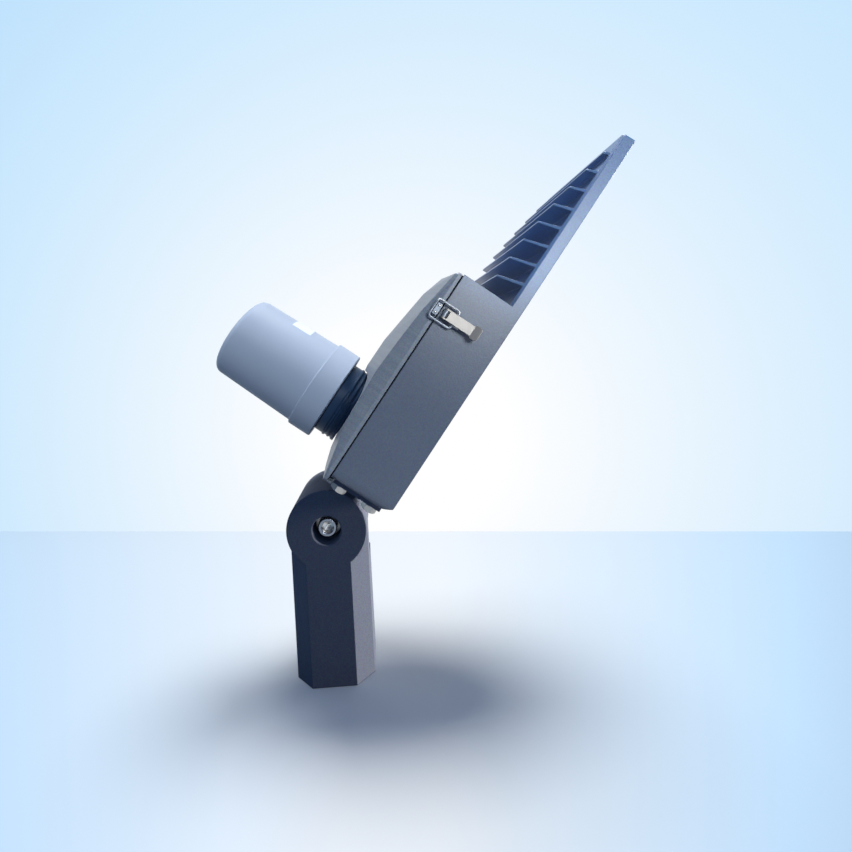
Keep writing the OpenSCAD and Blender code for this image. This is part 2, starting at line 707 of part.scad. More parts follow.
// Lid with the pocket for the receptacle and a lip at each end corner.
module lid() {
    color(lid_grey) on_head() difference() {
        union() {
            difference() {
                lid_form(0);
                pocket(0);
            }
            for (s = [-1, 1]) {
                y0 = (s > 0 ? barrel_y[1] : -barrel_y[2]) + slide_gap;
                len = barrel_y[2] - barrel_y[1] - 2 * slide_gap;
                hinge_barrel(y0, y0 + len);
                translate([lid_x + 0.5, y0, hinge_z]) cube([hinge_x - lid_x + 3, len, lid_z - hinge_z + 1]);
                translate([0, 0, lip_z]) intersection() {
                    rounded_plate(lid_x, box_end, housing_w, lid_z - lip_z + cut, end_r, 4);
                    translate([lid_x, s > 0 ? lip_y : -housing_w / 2, 0])
                        cube([lid_wall, housing_w / 2 - lip_y, lid_z - lip_z + cut]);
                }
            }
        }
        difference() {
            lid_form(lid_wall);
            pocket(lid_wall);
        }
        translate([ctl_x, 0, seat_z - 4 * lid_wall]) cylinder(d = neck_bore_d, h = 4 * lid_wall + 2 * cut);
        for (s = [-1, 1]) {
            translate([hinge_x, s > 0 ? barrel_y[0] : -barrel_y[3], hinge_z])
                rotate([-90, 0, 0]) cylinder(d = hinge_pin_d + 2 * run_gap, h = barrel_y[3] - barrel_y[0]);
            for (k = [0, 2]) translate([hinge_x, (s > 0 ? barrel_y[k] : -barrel_y[k + 1]) - slide_gap, hinge_z])
                rotate([-90, 0, 0]) cylinder(d = hinge_barrel_d + 2 * slide_gap,
                    h = barrel_y[k + 1] - barrel_y[k] + 2 * slide_gap);
        }
        at_receptacle_screws() translate([0, 0, -lid_wall - cut])
            cylinder(d = neck_screw_d + 0.4, h = lid_wall + 2 * cut);
    }
}

module at_receptacle_screws() {
    for (s = [-1, 1]) translate([ctl_x, s * (neck_d / 2 - neck_screw_inset), seat_z]) children();
}

module blade_sector(r0, r1, h, a0, a1) {
    for (k = [0 : 2]) rotate([0, 0, k * 120 + a0]) rotate_extrude(angle = a1 - a0)
        translate([r0, 0]) square([r1 - r0, h]);
}

// Twist-lock receptacle: ridged neck and three arc slots for the blades.
module receptacle() {
    r = neck_d / 2;
    color("#1d2733") on_head() difference() {
        translate([ctl_x, 0, seat_z]) rotate_extrude()
            polygon([[14, 0], [r + 0.5, 0], [r + 0.5, 2.5], [r, 3], [r - 0.9, 3.7], [r - 0.9, 5], [r, 5.7], [r, 7],
                [r - 0.9, 7.7], [r - 0.9, 9.4], [r + 0.4, 10.6], [r + 0.4, 12], [r - 0.6, 13], [r - 0.6, neck_h],
                [10, neck_h], [10, neck_h - 18], [14, neck_h - 18]]);
        translate([ctl_x, 0, ctl_z - blade_l - 2])
            blade_sector(blade_r - 0.5, blade_r + blade_t + 0.5, blade_l + 4,
                -blade_arc / 2 - 2, blade_arc / 2 + lock_turn + 2);
        at_receptacle_screws() translate([0, 0, -cut]) 
            cylinder(d = neck_screw_d + 2 * thread_gap, h = neck_screw_grip + 2 + cut);
    }
}

module receptacle_contacts() {
    color(brass) on_head() translate([ctl_x, 0, seat_z]) for (k = [0 : 2])
        rotate([0, 0, k * 120 - 60]) translate([blade_r, 0, -contact_l])
            cylinder(d = contact_d, h = contact_l - 0.1);
}

module receptacle_screws() {
    color(steel) on_head() at_receptacle_screws() translate([0, 0, -lid_wall]) rotate([180, 0, 0])
        pan_screw(neck_screw_d, lid_wall + neck_screw_grip);
}

module receptacle_gasket() {
    color(rubber) on_head() translate([ctl_x, 0, ctl_z])
        washer(neck_d - 6, neck_d - 14, 0.8);
}

// Base ring of the controller, with a floor that carries the blades.
module controller_base() {
    r = ring_d / 2;
    ri = node_d / 2 + 0.2;
    color("#9fb2cc") on_head() difference() {
        translate([ctl_x, 0, ctl_z + 0.8]) rotate_extrude()
            polygon([[0, 0], [r - 1, 0], [r, 1], [r, ring_h - 1.6], [r - 0.8, ring_h - 0.8],
                [ri, ring_h - 0.8], [ri, ring_h - 6], [ri - 2.5, ring_h - 6], [ri - 2.5, 3], [0, 3]]);
        translate([ctl_x, 0, ctl_z])
            blade_sector(blade_r - 0.05, blade_r + blade_t + 0.05, 5, -blade_arc / 2, blade_arc / 2);
    }
}

module controller_prongs() {
    color(brass) on_head() translate([ctl_x, 0, ctl_z - blade_l + 0.8])
        blade_sector(blade_r, blade_r + blade_t, blade_l + 5, -blade_arc / 2 + 0.2, blade_arc / 2 - 0.2);
}

module controller_board() {
    color("#2f6b45") on_head() translate([ctl_x, 0, ctl_z + 5.9]) {
        cylinder(r = node_d / 2 - 2.6, h = 1.6);
        translate([-20, -12, 1.6]) cube([24, 24, 9]);
        translate([10, -8, 1.6]) cube([14, 16, 5]);
    }
}

// Deep cap with a rounded shoulder.
module controller_cap() {
    r0 = node_d / 2;
    r1 = node_top_d / 2;
    z0 = ring_h - 5.2;
    z1 = node_h - shoulder_r;
    w = node_wall;
    shoulder = [for (a = [0 : 15 : 90]) [r1 - shoulder_r + shoulder_r * cos(a), z1 + shoulder_r * sin(a)]];
    inside = [for (a = [90 : -15 : 0])
        [r1 - shoulder_r + (shoulder_r - w) * cos(a), z1 + (shoulder_r - w) * sin(a)]];
    color("#a9b7d2") on_head() translate([ctl_x, 0, ctl_z]) rotate_extrude()
        polygon(concat([[r0 - w, z0], [r0, z0]], shoulder, [[0, node_h], [0, node_h - w]], inside));
}

// Place children at a latch: x along the head, -y outward, z up to the lid.
module at_latch(side) {
    on_head() mirror([0, side > 0 ? 1 : 0, 0]) translate([latch_mid, -housing_w / 2, 0]) children();
}

module bored_tab(x0, x1, y0, y1, z0, z1) {
    translate([x0, y0, z0]) cube([x1 - x0, y1 - y0, z1 - z0]);
}

// Fixed plate of the latch with the middle lug that holds the lever's pin.
module latch_base(side) {
    lug = lever_w / 2 - lever_flange_t - slide_gap;
    color(steel) at_latch(side) difference() {
        union() {
            bored_tab(-lever_w / 2 - 0.5, lever_w / 2 + 0.5, -1, 0, pin_z - 16, pin_z - 7);
            bored_tab(-lug, lug, -1, 0, pin_z - 8, pin_z + 2.4);
            bored_tab(-lug, lug, -lever_y, 0, pin_z - 2.4, pin_z + 2.4);
            translate([-lug, -lever_y, pin_z]) rotate([0, 90, 0]) cylinder(r = 2.4, h = 2 * lug);
        }
        translate([-lug - cut, -lever_y, pin_z]) rotate([0, 90, 0])
            cylinder(d = latch_pin_d + 2 * run_gap, h = 2 * lug + 2 * cut);
    }
}

module latch_pin(side) {
    color(steel) at_latch(side) translate([-lever_w / 2, -lever_y, pin_z]) rotate([0, 90, 0])
        cylinder(d = latch_pin_d, h = lever_w);
}

// Folded lever: two cheeks on the pin, a web between them and a flared tab.
module latch_lever(side) {
    face = -lever_y - 2.7;
    tail = pin_z - lever_l;
    web_top = pin_z - 2.6;
    tab_l = 7;
    color("#d8cbb8") at_latch(side) difference() {
        union() {
            translate([-lever_w / 2, face - lever_t, tail + tab_l - 0.4])
                cube([lever_w, lever_t, web_top - tail - tab_l + 0.4]);
            translate([0, face, tail + tab_l]) rotate([90 - tab_flare, 0, 0]) linear_extrude(lever_t)
                polygon([[0.3 - lever_w / 2, 0.5], [lever_w / 2 - 0.3, 0.5], [tab_w / 2, -0.8], [tab_w / 2, -tab_l + 2.2],
                    [tab_w / 2 - 0.8, -tab_l + 0.8], [tab_w / 2 - 2.2, -tab_l], [-tab_w / 2 + 2.2, -tab_l],
                    [-tab_w / 2 + 0.8, -tab_l + 0.8], [-tab_w / 2, -tab_l + 2.2], [-tab_w / 2, -0.8]]);
            for (s = [-1, 1]) translate([s * (lever_w - lever_flange_t) / 2, 0, 0]) {
                bored_tab(-lever_flange_t / 2, lever_flange_t / 2, face - 0.1, -lever_y + 2,
                    pin_z - bail_throw - 2.4, pin_z + 0.7);
                translate([-lever_flange_t / 2, -lever_y, pin_z]) rotate([0, 90, 0])
                    cylinder(r = 2.6, h = lever_flange_t);
            }
        }
        for (z = [pin_z, pin_z - bail_throw]) translate([-lever_w, -lever_y, z]) rotate([0, 90, 0])
            cylinder(d = (z == pin_z ? latch_pin_d : bail_d) + 2 * run_gap, h = 2 * lever_w);
    }
}

// Wire loop over the keeper, with its ends turned in to the lever.
module latch_bail(side) {
    z0 = pin_z - bail_throw;
    top = bail_top + slide_gap;
    r = 2.4;
    x = bail_w / 2;
    color(steel) at_latch(side) translate([0, -bail_y, 0]) for (s = [-1, 1]) mirror([s < 0 ? 1 : 0, 0, 0]) {
        translate([lever_w / 2 - lever_flange_t, 0, z0]) rotate([0, 90, 0])
            cylinder(d = bail_d, h = x - r - lever_w / 2 + lever_flange_t);
        translate([x - r, 0, z0 + r]) rotate([90, 0, 0]) rotate_extrude(angle = -90)
            translate([r, 0]) circle(d = bail_d, $fn = 24);
        translate([x, 0, z0 + r]) cylinder(d = bail_d, h = top - z0 - 2 * r);
        translate([x - r, 0, top - r]) rotate([90, 0, 0]) rotate_extrude(angle = 90)
            translate([r, 0]) circle(d = bail_d, $fn = 24);
        translate([0, 0, top]) rotate([0, 90, 0]) cylinder(d = bail_d, h = x - r);
    }
}

// Keeper riveted to the lid, with the edge that the bail pulls on.
module latch_keeper(side) {
    color(steel) at_latch(side) translate([0, 0, lid_z]) {
        rotate([90, 0, 0]) linear_extrude(bail_y + bail_d / 2)
            polygon([[-keeper_w / 2, 1], [-keeper_w / 2 + 1, 0], [keeper_w / 2 - 1, 0], [keeper_w / 2, 1],
                [keeper_w / 2, keeper_h], [-keeper_w / 2, keeper_h]]);
    }
}

pole_sleeve();
clamp_screws();
pivot_bolt();
pivot_washers();
pivot_nut();
tilt_lug();
flange_bolts();
flange_washers();
housing();
wire_grommet();
led_driver();
driver_screws();
surge_protector();
terminal_block();
led_board();
led_chips();
lens_gasket();
lens_plate();
lens_screws();
lid_gasket();
lid_hinge_pins();
lid();
receptacle();
receptacle_contacts();
receptacle_screws();
receptacle_gasket();
controller_base();
controller_prongs();
controller_board();
controller_cap();
latch_base(-1);  // latch_base_near
latch_pin(-1);  // latch_pin_near
latch_lever(-1);  // latch_lever_near
latch_bail(-1);  // latch_bail_near
latch_keeper(-1);  // latch_keeper_near
latch_base(1);  // latch_base_far
latch_pin(1);  // latch_pin_far
latch_lever(1);  // latch_lever_far
latch_bail(1);  // latch_bail_far
latch_keeper(1);  // latch_keeper_far
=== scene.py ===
import math

import bpy
from mathutils import Matrix, Vector


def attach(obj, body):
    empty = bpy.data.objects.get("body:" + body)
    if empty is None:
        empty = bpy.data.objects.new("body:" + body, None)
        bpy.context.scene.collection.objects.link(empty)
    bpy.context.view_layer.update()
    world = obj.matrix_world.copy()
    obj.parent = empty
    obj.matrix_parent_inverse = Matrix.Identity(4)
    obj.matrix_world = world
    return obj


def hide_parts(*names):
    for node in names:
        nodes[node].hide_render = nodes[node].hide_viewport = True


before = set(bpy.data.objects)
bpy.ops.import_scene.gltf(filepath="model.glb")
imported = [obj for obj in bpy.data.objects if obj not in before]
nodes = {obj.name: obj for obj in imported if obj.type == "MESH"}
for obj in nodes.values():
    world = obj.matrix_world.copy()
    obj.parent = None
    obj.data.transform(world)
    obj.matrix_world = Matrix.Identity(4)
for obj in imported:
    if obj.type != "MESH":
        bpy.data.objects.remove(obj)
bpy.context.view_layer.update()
scene = bpy.context.scene
scene.view_settings.view_transform = "Standard"

# Camera. It looks along the side of the light from close by, with a wide lens, level with the
# lid. The picture was cut from a wider one, so the lens is shifted up and to the left.
camera_at = (0.0601, -0.4484, 0.3111)
camera_yaw = math.radians(1.74)
camera_pitch = math.radians(-0.29)
camera_roll = math.radians(-3.12)
sight = Vector((math.sin(camera_yaw) * math.cos(camera_pitch),
                math.cos(camera_yaw) * math.cos(camera_pitch), math.sin(camera_pitch)))
level = Vector((math.cos(camera_yaw), -math.sin(camera_yaw), 0))
upright = level.cross(sight)
right = level * math.cos(camera_roll) + upright * math.sin(camera_roll)
up = upright * math.cos(camera_roll) - level * math.sin(camera_roll)
camera = bpy.data.objects.new("camera", bpy.data.cameras.new("camera"))
camera.matrix_world = Matrix((right, up, -sight)).transposed().to_4x4()
camera.location = camera_at
camera.data.sensor_width = 36
camera.data.lens = 18.91
camera.data.shift_x = 0.0356
camera.data.shift_y = -0.0927
camera.data.clip_start = 0.01
scene.collection.objects.link(camera)
scene.camera = camera


# Floor and backdrop. A pale matt sheet lies under the light and a second one stands behind it,
# both nearly white in the middle and pale blue at their edges; the white middle is a painted pool of
# light. Their join is level in the picture, and from behind they are clear, so that the light can be
# looked at from every side.
def new_material(name):
    """An empty node material, its nodes, and a function that links two sockets."""
    material = bpy.data.materials.new(name)
    material.use_nodes = True
    tree = material.node_tree
    tree.nodes.clear()
    return material, tree.nodes, tree.links.new


def add_piece(name, mesh, material=None):
    """A mesh object at the origin, in the scene."""
    piece = bpy.data.objects.new(name, mesh)
    scene.collection.objects.link(piece)
    if material:
        mesh.materials.append(material)
    return piece


def pale_sheet(name, corners, middle, spread, least_y, far_colour, edge_colour, centre_colour, lit_share):
    """A sheet with its own colour for what sees it, and a dark one for the light it throws back.

    The pale part, a painted pool of light, is round, or with least_y above zero a wedge that opens away
    from middle. Away from the light's foot the sheet shows more of its own glow, as a light table would:
    painted light that thins the shadow there."""
    wedge_slope = 2.2
    shadow_middle = (0.045, -0.055)
    shadow_squash = 2.2
    shadow_core, shadow_end = 0.08, 0.26
    outer_share = 0.35
    mesh = bpy.data.meshes.new(name)
    mesh.from_pydata(corners, [], [(0, 1, 2, 3)])
    material, add, link = new_material(name + "_paper")
    coords = add.new("ShaderNodeTexCoord")
    place = add.new("ShaderNodeMapping")
    place.inputs["Location"].default_value = [-m / s for m, s in zip(middle, spread)]
    place.inputs["Scale"].default_value = [1 / s for s in spread]
    link(coords.outputs["Object"], place.inputs["Vector"])
    if least_y:
        parts = add.new("ShaderNodeSeparateXYZ")
        depth = add.new("ShaderNodeMath")
        depth.operation = "MAXIMUM"
        depth.inputs[1].default_value = least_y
        angle = add.new("ShaderNodeMath")
        angle.operation = "DIVIDE"
        away = add.new("ShaderNodeMath")
        away.operation = "ABSOLUTE"
        glow = add.new("ShaderNodeMapRange")
        glow.inputs["From Min"].default_value = wedge_slope
        glow.inputs["From Max"].default_value = 0.0
        link(place.outputs["Vector"], parts.inputs["Vector"])
        link(parts.outputs["Y"], depth.inputs[0])
        link(parts.outputs["X"], angle.inputs[0])
        link(depth.outputs["Value"], angle.inputs[1])
        link(angle.outputs["Value"], away.inputs[0])
        link(away.outputs["Value"], glow.inputs["Value"])
        glow_fac = glow.outputs["Result"]
    else:
        glow = add.new("ShaderNodeTexGradient")
        glow.gradient_type = "QUADRATIC_SPHERE"
        link(place.outputs["Vector"], glow.inputs["Vector"])
        glow_fac = glow.outputs["Fac"]
    # Painted pool of light: nearly white in the middle, pale blue towards the edges.
    ramp = add.new("ShaderNodeValToRGB")
    ramp.color_ramp.elements[0].color = far_colour
    ramp.color_ramp.elements[1].color = centre_colour
    ramp.color_ramp.elements[1].position = 0.95 if least_y else 0.78
    ramp.color_ramp.elements.new(0.58 if least_y else 0.17).color = edge_colour
    paper = add.new("ShaderNodeBsdfDiffuse")
    shine = add.new("ShaderNodeEmission")
    seen = add.new("ShaderNodeMixShader")
    seen.inputs["Fac"].default_value = lit_share
    # Painted light: away from the shadow's middle the sheet shows more of its own glow, which thins the shadow.
    if least_y:
        reach = add.new("ShaderNodeMapping")
        reach.inputs["Location"].default_value = (-shadow_middle[0], -shadow_middle[1] * shadow_squash, 0)
        reach.inputs["Scale"].default_value = (1, shadow_squash, 0)
        length = add.new("ShaderNodeVectorMath")
        length.operation = "LENGTH"
        fill = add.new("ShaderNodeMapRange")
        fill.inputs["From Min"].default_value = shadow_core
        fill.inputs["From Max"].default_value = shadow_end
        fill.inputs["To Min"].default_value = lit_share
        fill.inputs["To Max"].default_value = outer_share
        link(coords.outputs["Object"], reach.inputs["Vector"])
        link(reach.outputs["Vector"], length.inputs[0])
        link(length.outputs["Value"], fill.inputs["Value"])
        link(fill.outputs["Result"], seen.inputs["Fac"])
    bounce = add.new("ShaderNodeBsdfDiffuse")
    bounce.inputs["Color"].default_value = (0.05, 0.08, 0.13, 1)
    paths = add.new("ShaderNodeLightPath")
    mix = add.new("ShaderNodeMixShader")
    out = add.new("ShaderNodeOutputMaterial")
    link(glow_fac, ramp.inputs["Fac"])
    link(ramp.outputs["Color"], paper.inputs["Color"])
    link(ramp.outputs["Color"], shine.inputs["Color"])
    link(shine.outputs["Emission"], seen.inputs[1])
    link(paper.outputs["BSDF"], seen.inputs[2])
    link(paths.outputs["Is Diffuse Ray"], mix.inputs["Fac"])
    link(seen.outputs["Shader"], mix.inputs[1])
    link(bounce.outputs["BSDF"], mix.inputs[2])
    clear_behind = add.new("ShaderNodeMixShader")
    link(add.new("ShaderNodeNewGeometry").outputs["Backfacing"], clear_behind.inputs["Fac"])
    link(mix.outputs["Shader"], clear_behind.inputs[1])
    link(add.new("ShaderNodeBsdfTransparent").outputs["BSDF"], clear_behind.inputs[2])
    link(clear_behind.outputs["Shader"], out.inputs["Surface"])
    sheet = add_piece(name, mesh, material)
    return sheet


floor_z = -0.0005
join_left = Vector((-0.680, 0.419, floor_z))
join_right = Vector((0.737, 0.190, floor_z))
join = join_right - join_left
far_left = join_left - 3 * join
far_right = join_right + 3 * join
toward_camera = Vector((0, -6, 0))
backdrop_h = Vector((0, 0, 1.1))
floor = pale_sheet("floor", [far_left + toward_camera, far_right + toward_camera, far_right, far_left],
                   middle=(0.05, -0.448, floor_z), spread=(1.0, 1.0, 1.0), least_y=0.22,
                   far_colour=(0.16, 0.22, 0.32, 1), edge_colour=(0.56, 0.77, 0.98, 1),
                   centre_colour=(0.87, 0.92, 0.97, 1), lit_share=0.92)
backdrop = pale_sheet("backdrop", [far_left, far_right, far_right + backdrop_h, far_left + backdrop_h],
                      middle=(0.09, 0.30, 0.16), spread=(1.45, 100.0, 1.45), least_y=0,
                      far_colour=(0.50, 0.74, 0.98, 1), edge_colour=(0.60, 0.81, 0.99, 1),
                      centre_colour=(1.0, 1.0, 1.0, 1), lit_share=0.0)
backdrop.visible_shadow = False


# Lamps. A large soft lamp hangs over the light and behind it, so that the shadow lies under the
# head. A low one on the right lights the edges, a small one in front makes the sheen along the
# head, and one from the upper left lights the controller. Light linking keeps these three off the rest.
def soft_lamp(name, at, aim, size, power, colour, linked=(), state="EXCLUDE"):
    """A round area lamp. The linked pieces are left out of its light, or with INCLUDE are all that it lights."""
    data = bpy.data.lights.new(name, "AREA")
    data.shape = "DISK"
    data.size = size
    data.energy = power
    data.color = colour
    lamp = bpy.data.objects.new(name, data)
    lamp.location = at
    lamp.rotation_mode = "QUATERNION"
    lamp.rotation_quaternion = (Vector(aim) - Vector(at)).to_track_quat("-Z", "Y")
    scene.collection.objects.link(lamp)
    if linked:
        flag = bpy.data.collections.new(name + "_flag")
        for piece in linked:
            flag.objects.link(piece)
        lamp.light_linking.receiver_collection = flag
        for entry in flag.collection_objects:
            entry.light_linking.link_state = state


lamp_aim = (0.08, 0.0, 0.25)
stage = [floor, backdrop]
sleeve = [nodes["pole_sleeve"], nodes["tilt_lug"]]
controller = [nodes["controller_cap"], nodes["controller_base"]]
soft_lamp("top_lamp", (0.44, 0.42, 3.00), lamp_aim, 1.3, 92, (1.0, 0.98, 0.96))
soft_lamp("right_lamp", (1.9, -0.05, 0.42), lamp_aim, 0.7, 55, (1.0, 0.92, 0.84), stage)
soft_lamp("front_lamp", (0.48, -1.10, 0.60), (0.15, -0.09, 0.36), 0.42, 7.4, (0.84, 0.92, 1.0),
          stage + sleeve + controller)
soft_lamp("cap_lamp", (-0.12, -1.00, 0.95), (-0.03, 0.0, 0.25), 0.4, 8.4, (0.90, 0.96, 1.0),
          controller, "INCLUDE")
world = bpy.data.worlds.new("studio")
world.use_nodes = True
sky = world.node_tree.nodes["Background"]
sky.inputs["Color"].default_value = (0.30, 0.52, 1.0, 1)
add, link = world.node_tree.nodes.new, world.node_tree.links.new
height = add("ShaderNodeSeparateXYZ")
fade = add("ShaderNodeMapRange")
fade.inputs["From Min"].default_value = -0.15
fade.inputs["To Min"].default_value = 0.04
fade.inputs["To Max"].default_value = 0.32
link(add("ShaderNodeTexCoord").outputs["Generated"], height.inputs["Vector"])
link(height.outputs["Z"], fade.inputs["Value"])
link(fade.outputs["Result"], sky.inputs["Strength"])
scene.world = world


# Castings: the pole sleeve, the lug, the housing and the lid. They are die-cast aluminium with a
# fine-textured powder coat, which gives a grainy satin surface and softens every edge. Where the fins
# begin the housing's coat turns bluer, a painted reflection of the blue sky, and the lid's is streaked across.
pivot_height = 0.144
head_tilt = math.radians(-53.4)
# Along the head: where the painted sky reflection on the fins begins, and where it is full.
fins_begin, fins_reflection_full = 0.240, 0.285


def powder_coat(name, colour, shade, rough, sheen, grain_size, grain_depth, edge, cloud_scale=14, fin_sky_reflection=None):
    """Clouds between colour and shade, and fine grain over them. Lengths are in metres. Given a fin colour, the coat
    turns to it along the fins, a painted reflection of the blue sky.
    """
    material, add, link = new_material(name)
    coords = add.new("ShaderNodeTexCoord")
    grain = add.new("ShaderNodeTexNoise")
    grain.inputs["Scale"].default_value = 1 / grain_size
    grain.inputs["Detail"].default_value = 3
    cloud = add.new("ShaderNodeTexNoise")
    along_head = add.new("ShaderNodeMapping")
    along_head.vector_type = "TEXTURE"
    along_head.inputs["Location"].default_value = (0, 0, pivot_height)
    along_head.inputs["Rotation"].default_value = (0, head_tilt, 0)
    stretch = add.new("ShaderNodeMapping")
    stretch.inputs["Scale"].default_value = (cloud_scale, 14, 14)
    cloud.inputs["Scale"].default_value = 1
    cloud.inputs["Detail"].default_value = 4
    tint = add.new("ShaderNodeMix")
    tint.data_type = "RGBA"
    tint.inputs["A"].default_value = (*shade, 1)
    tint.inputs["B"].default_value = (*colour, 1)
    coat = tint
    # Painted reflection: past the box the coat blends into the blue of the sky reflected in the fins.
    if fin_sky_reflection:
        parts = add.new("ShaderNodeSeparateXYZ")
        fin_reflection_mask = add.new("ShaderNodeMapRange")
        fin_reflection_mask.inputs["From Min"].default_value = fins_begin
        fin_reflection_mask.inputs["From Max"].default_value = fins_reflection_full
        coat = add.new("ShaderNodeMix")
        coat.data_type = "RGBA"
        coat.inputs["B"].default_value = (*fin_sky_reflection, 1)
        link(along_head.outputs["Vector"], parts.inputs["Vector"])
        link(parts.outputs["X"], fin_reflection_mask.inputs["Value"])
        link(fin_reflection_mask.outputs["Result"], coat.inputs["Factor"])
        link(tint.outputs["Result"], coat.inputs["A"])
    speck = add.new("ShaderNodeMix")
    speck.data_type = "RGBA"
    speck.blend_type = "OVERLAY"
    speck.inputs["Factor"].default_value = 0.5
    rounded = add.new("ShaderNodeBevel")
    rounded.samples = 6
    rounded.inputs["Radius"].default_value = edge
    bump = add.new("ShaderNodeBump")
    bump.inputs["Strength"].default_value = 0.5
    bump.inputs["Distance"].default_value = grain_depth
    gloss = add.new("ShaderNodeMapRange")
    gloss.inputs["To Min"].default_value = rough - 0.07
    gloss.inputs["To Max"].default_value = rough + 0.07
    paint = add.new("ShaderNodeBsdfPrincipled")
    paint.inputs["Specular IOR Level"].default_value = sheen
    out = add.new("ShaderNodeOutputMaterial")
    link(coords.outputs["Object"], grain.inputs["Vector"])
    link(coords.outputs["Object"], along_head.inputs["Vector"])
    link(along_head.outputs["Vector"], stretch.inputs["Vector"])
    link(stretch.outputs["Vector"], cloud.inputs["Vector"])
    link(cloud.outputs["Fac"], tint.inputs["Factor"])
    link(coat.outputs["Result"], speck.inputs["A"])
    link(grain.outputs["Color"], speck.inputs["B"])
    link(speck.outputs["Result"], paint.inputs["Base Color"])
    link(grain.outputs["Fac"], bump.inputs["Height"])
    link(rounded.outputs["Normal"], bump.inputs["Normal"])
    link(bump.outputs["Normal"], paint.inputs["Normal"])
    link(grain.outputs["Fac"], gloss.inputs["Value"])
    link(gloss.outputs["Result"], paint.inputs["Roughness"])
    link(paint.outputs["BSDF"], out.inputs["Surface"])
    return material


def dress(material, *names):
    """Gives CAD nodes one finish."""
    for name in names:
        for slot in nodes[name].material_slots:
            slot.material = material


sleeve_coat = powder_coat("sleeve_coat", (0.205, 0.235, 0.310), (0.165, 0.195, 0.265), rough=0.50, sheen=0.02,
                          grain_size=0.0011, grain_depth=0.00012, edge=0.0009)
dress(sleeve_coat, "pole_sleeve", "tilt_lug")
# The housing's blue towards the fins is a painted reflection of the sky.
housing_coat = powder_coat("housing_coat", (0.090, 0.114, 0.166), (0.062, 0.084, 0.132), rough=0.38, sheen=1.0,
                           grain_size=0.0013, grain_depth=0.00012, edge=0.0008, cloud_scale=22,
                           fin_sky_reflection=(0.105, 0.205, 0.400))
dress(housing_coat, "housing")
lid_coat = powder_coat("lid_coat", (0.285, 0.315, 0.355), (0.175, 0.205, 0.250), rough=0.40, sheen=0.7,
                       grain_size=0.0012, grain_depth=0.00012, edge=0.0008, cloud_scale=420)
dress(lid_coat, "lid")


# Steel pieces: screws, washers, pins, the nut and the latches. They are stainless steel, bright
# on the turned faces and finely brushed along the pressed ones.
def steel(name, colour, rough, streak):
    """Brushed metal. A small number in streak draws the brushing out along that axis."""
    material, add, link = new_material(name)
    coords = add.new("ShaderNodeTexCoord")
    stretch = add.new("ShaderNodeMapping")
    stretch.inputs["Scale"].default_value = streak
    brush = add.new("ShaderNodeTexNoise")
    brush.inputs["Scale"].default_value = 900
    brush.inputs["Detail"].default_value = 3
    gloss = add.new("ShaderNodeMapRange")
    gloss.inputs["To Min"].default_value = rough - 0.1
    gloss.inputs["To Max"].default_value = rough + 0.12
    rounded = add.new("ShaderNodeBevel")
    rounded.samples = 6
    rounded.inputs["Radius"].default_value = 0.0003
    metal = add.new("ShaderNodeBsdfPrincipled")
    metal.inputs["Base Color"].default_value = (*colour, 1)
    metal.inputs["Metallic"].default_value = 1.0
    out = add.new("ShaderNodeOutputMaterial")
    link(coords.outputs["Object"], stretch.inputs["Vector"])
    link(stretch.outputs["Vector"], brush.inputs["Vector"])
    link(brush.outputs["Fac"], gloss.inputs["Value"])
    link(gloss.outputs["Result"], metal.inputs["Roughness"])
    link(rounded.outputs["Normal"], metal.inputs["Normal"])
    link(metal.outputs["BSDF"], out.inputs["Surface"])
    return material


turned_steel = steel("turned_steel", (0.62, 0.59, 0.55), 0.28, (1, 1, 1))
dress(turned_steel, "clamp_screws", "pivot_bolt", "pivot_nut", "flange_bolts",
      "driver_screws", "lens_screws", "lid_hinge_pins", "receptacle_screws", "latch_pin_near", "latch_pin_far")
# A darker, rougher steel for the flange screws, the washers and the rivets.
dark_steel = steel("dark_steel", (0.46, 0.43, 0.40), 0.36, (1, 1, 1))
dress(dark_steel, "flange_washers", "pivot_washers")
knurl_steel = steel("knurl_steel", (0.25, 0.26, 0.29), 0.26, (1, 1, 1))
pressed_steel = steel("pressed_steel", (0.44, 0.45, 0.47), 0.48, (1, 1, 0.1))
dress(pressed_steel, "latch_base_near", "latch_base_far", "latch_bail_near", "latch_bail_far")
keeper_steel = steel("keeper_steel", (0.24, 0.26, 0.29), 0.46, (1, 1, 0.1))
dress(keeper_steel, "latch_keeper_near", "latch_keeper_far")
lever_steel = steel("lever_steel", (0.46, 0.41, 0.36), 0.50, (1, 1, 0.1))
dress(lever_steel, "latch_lever_near", "latch_lever_far")


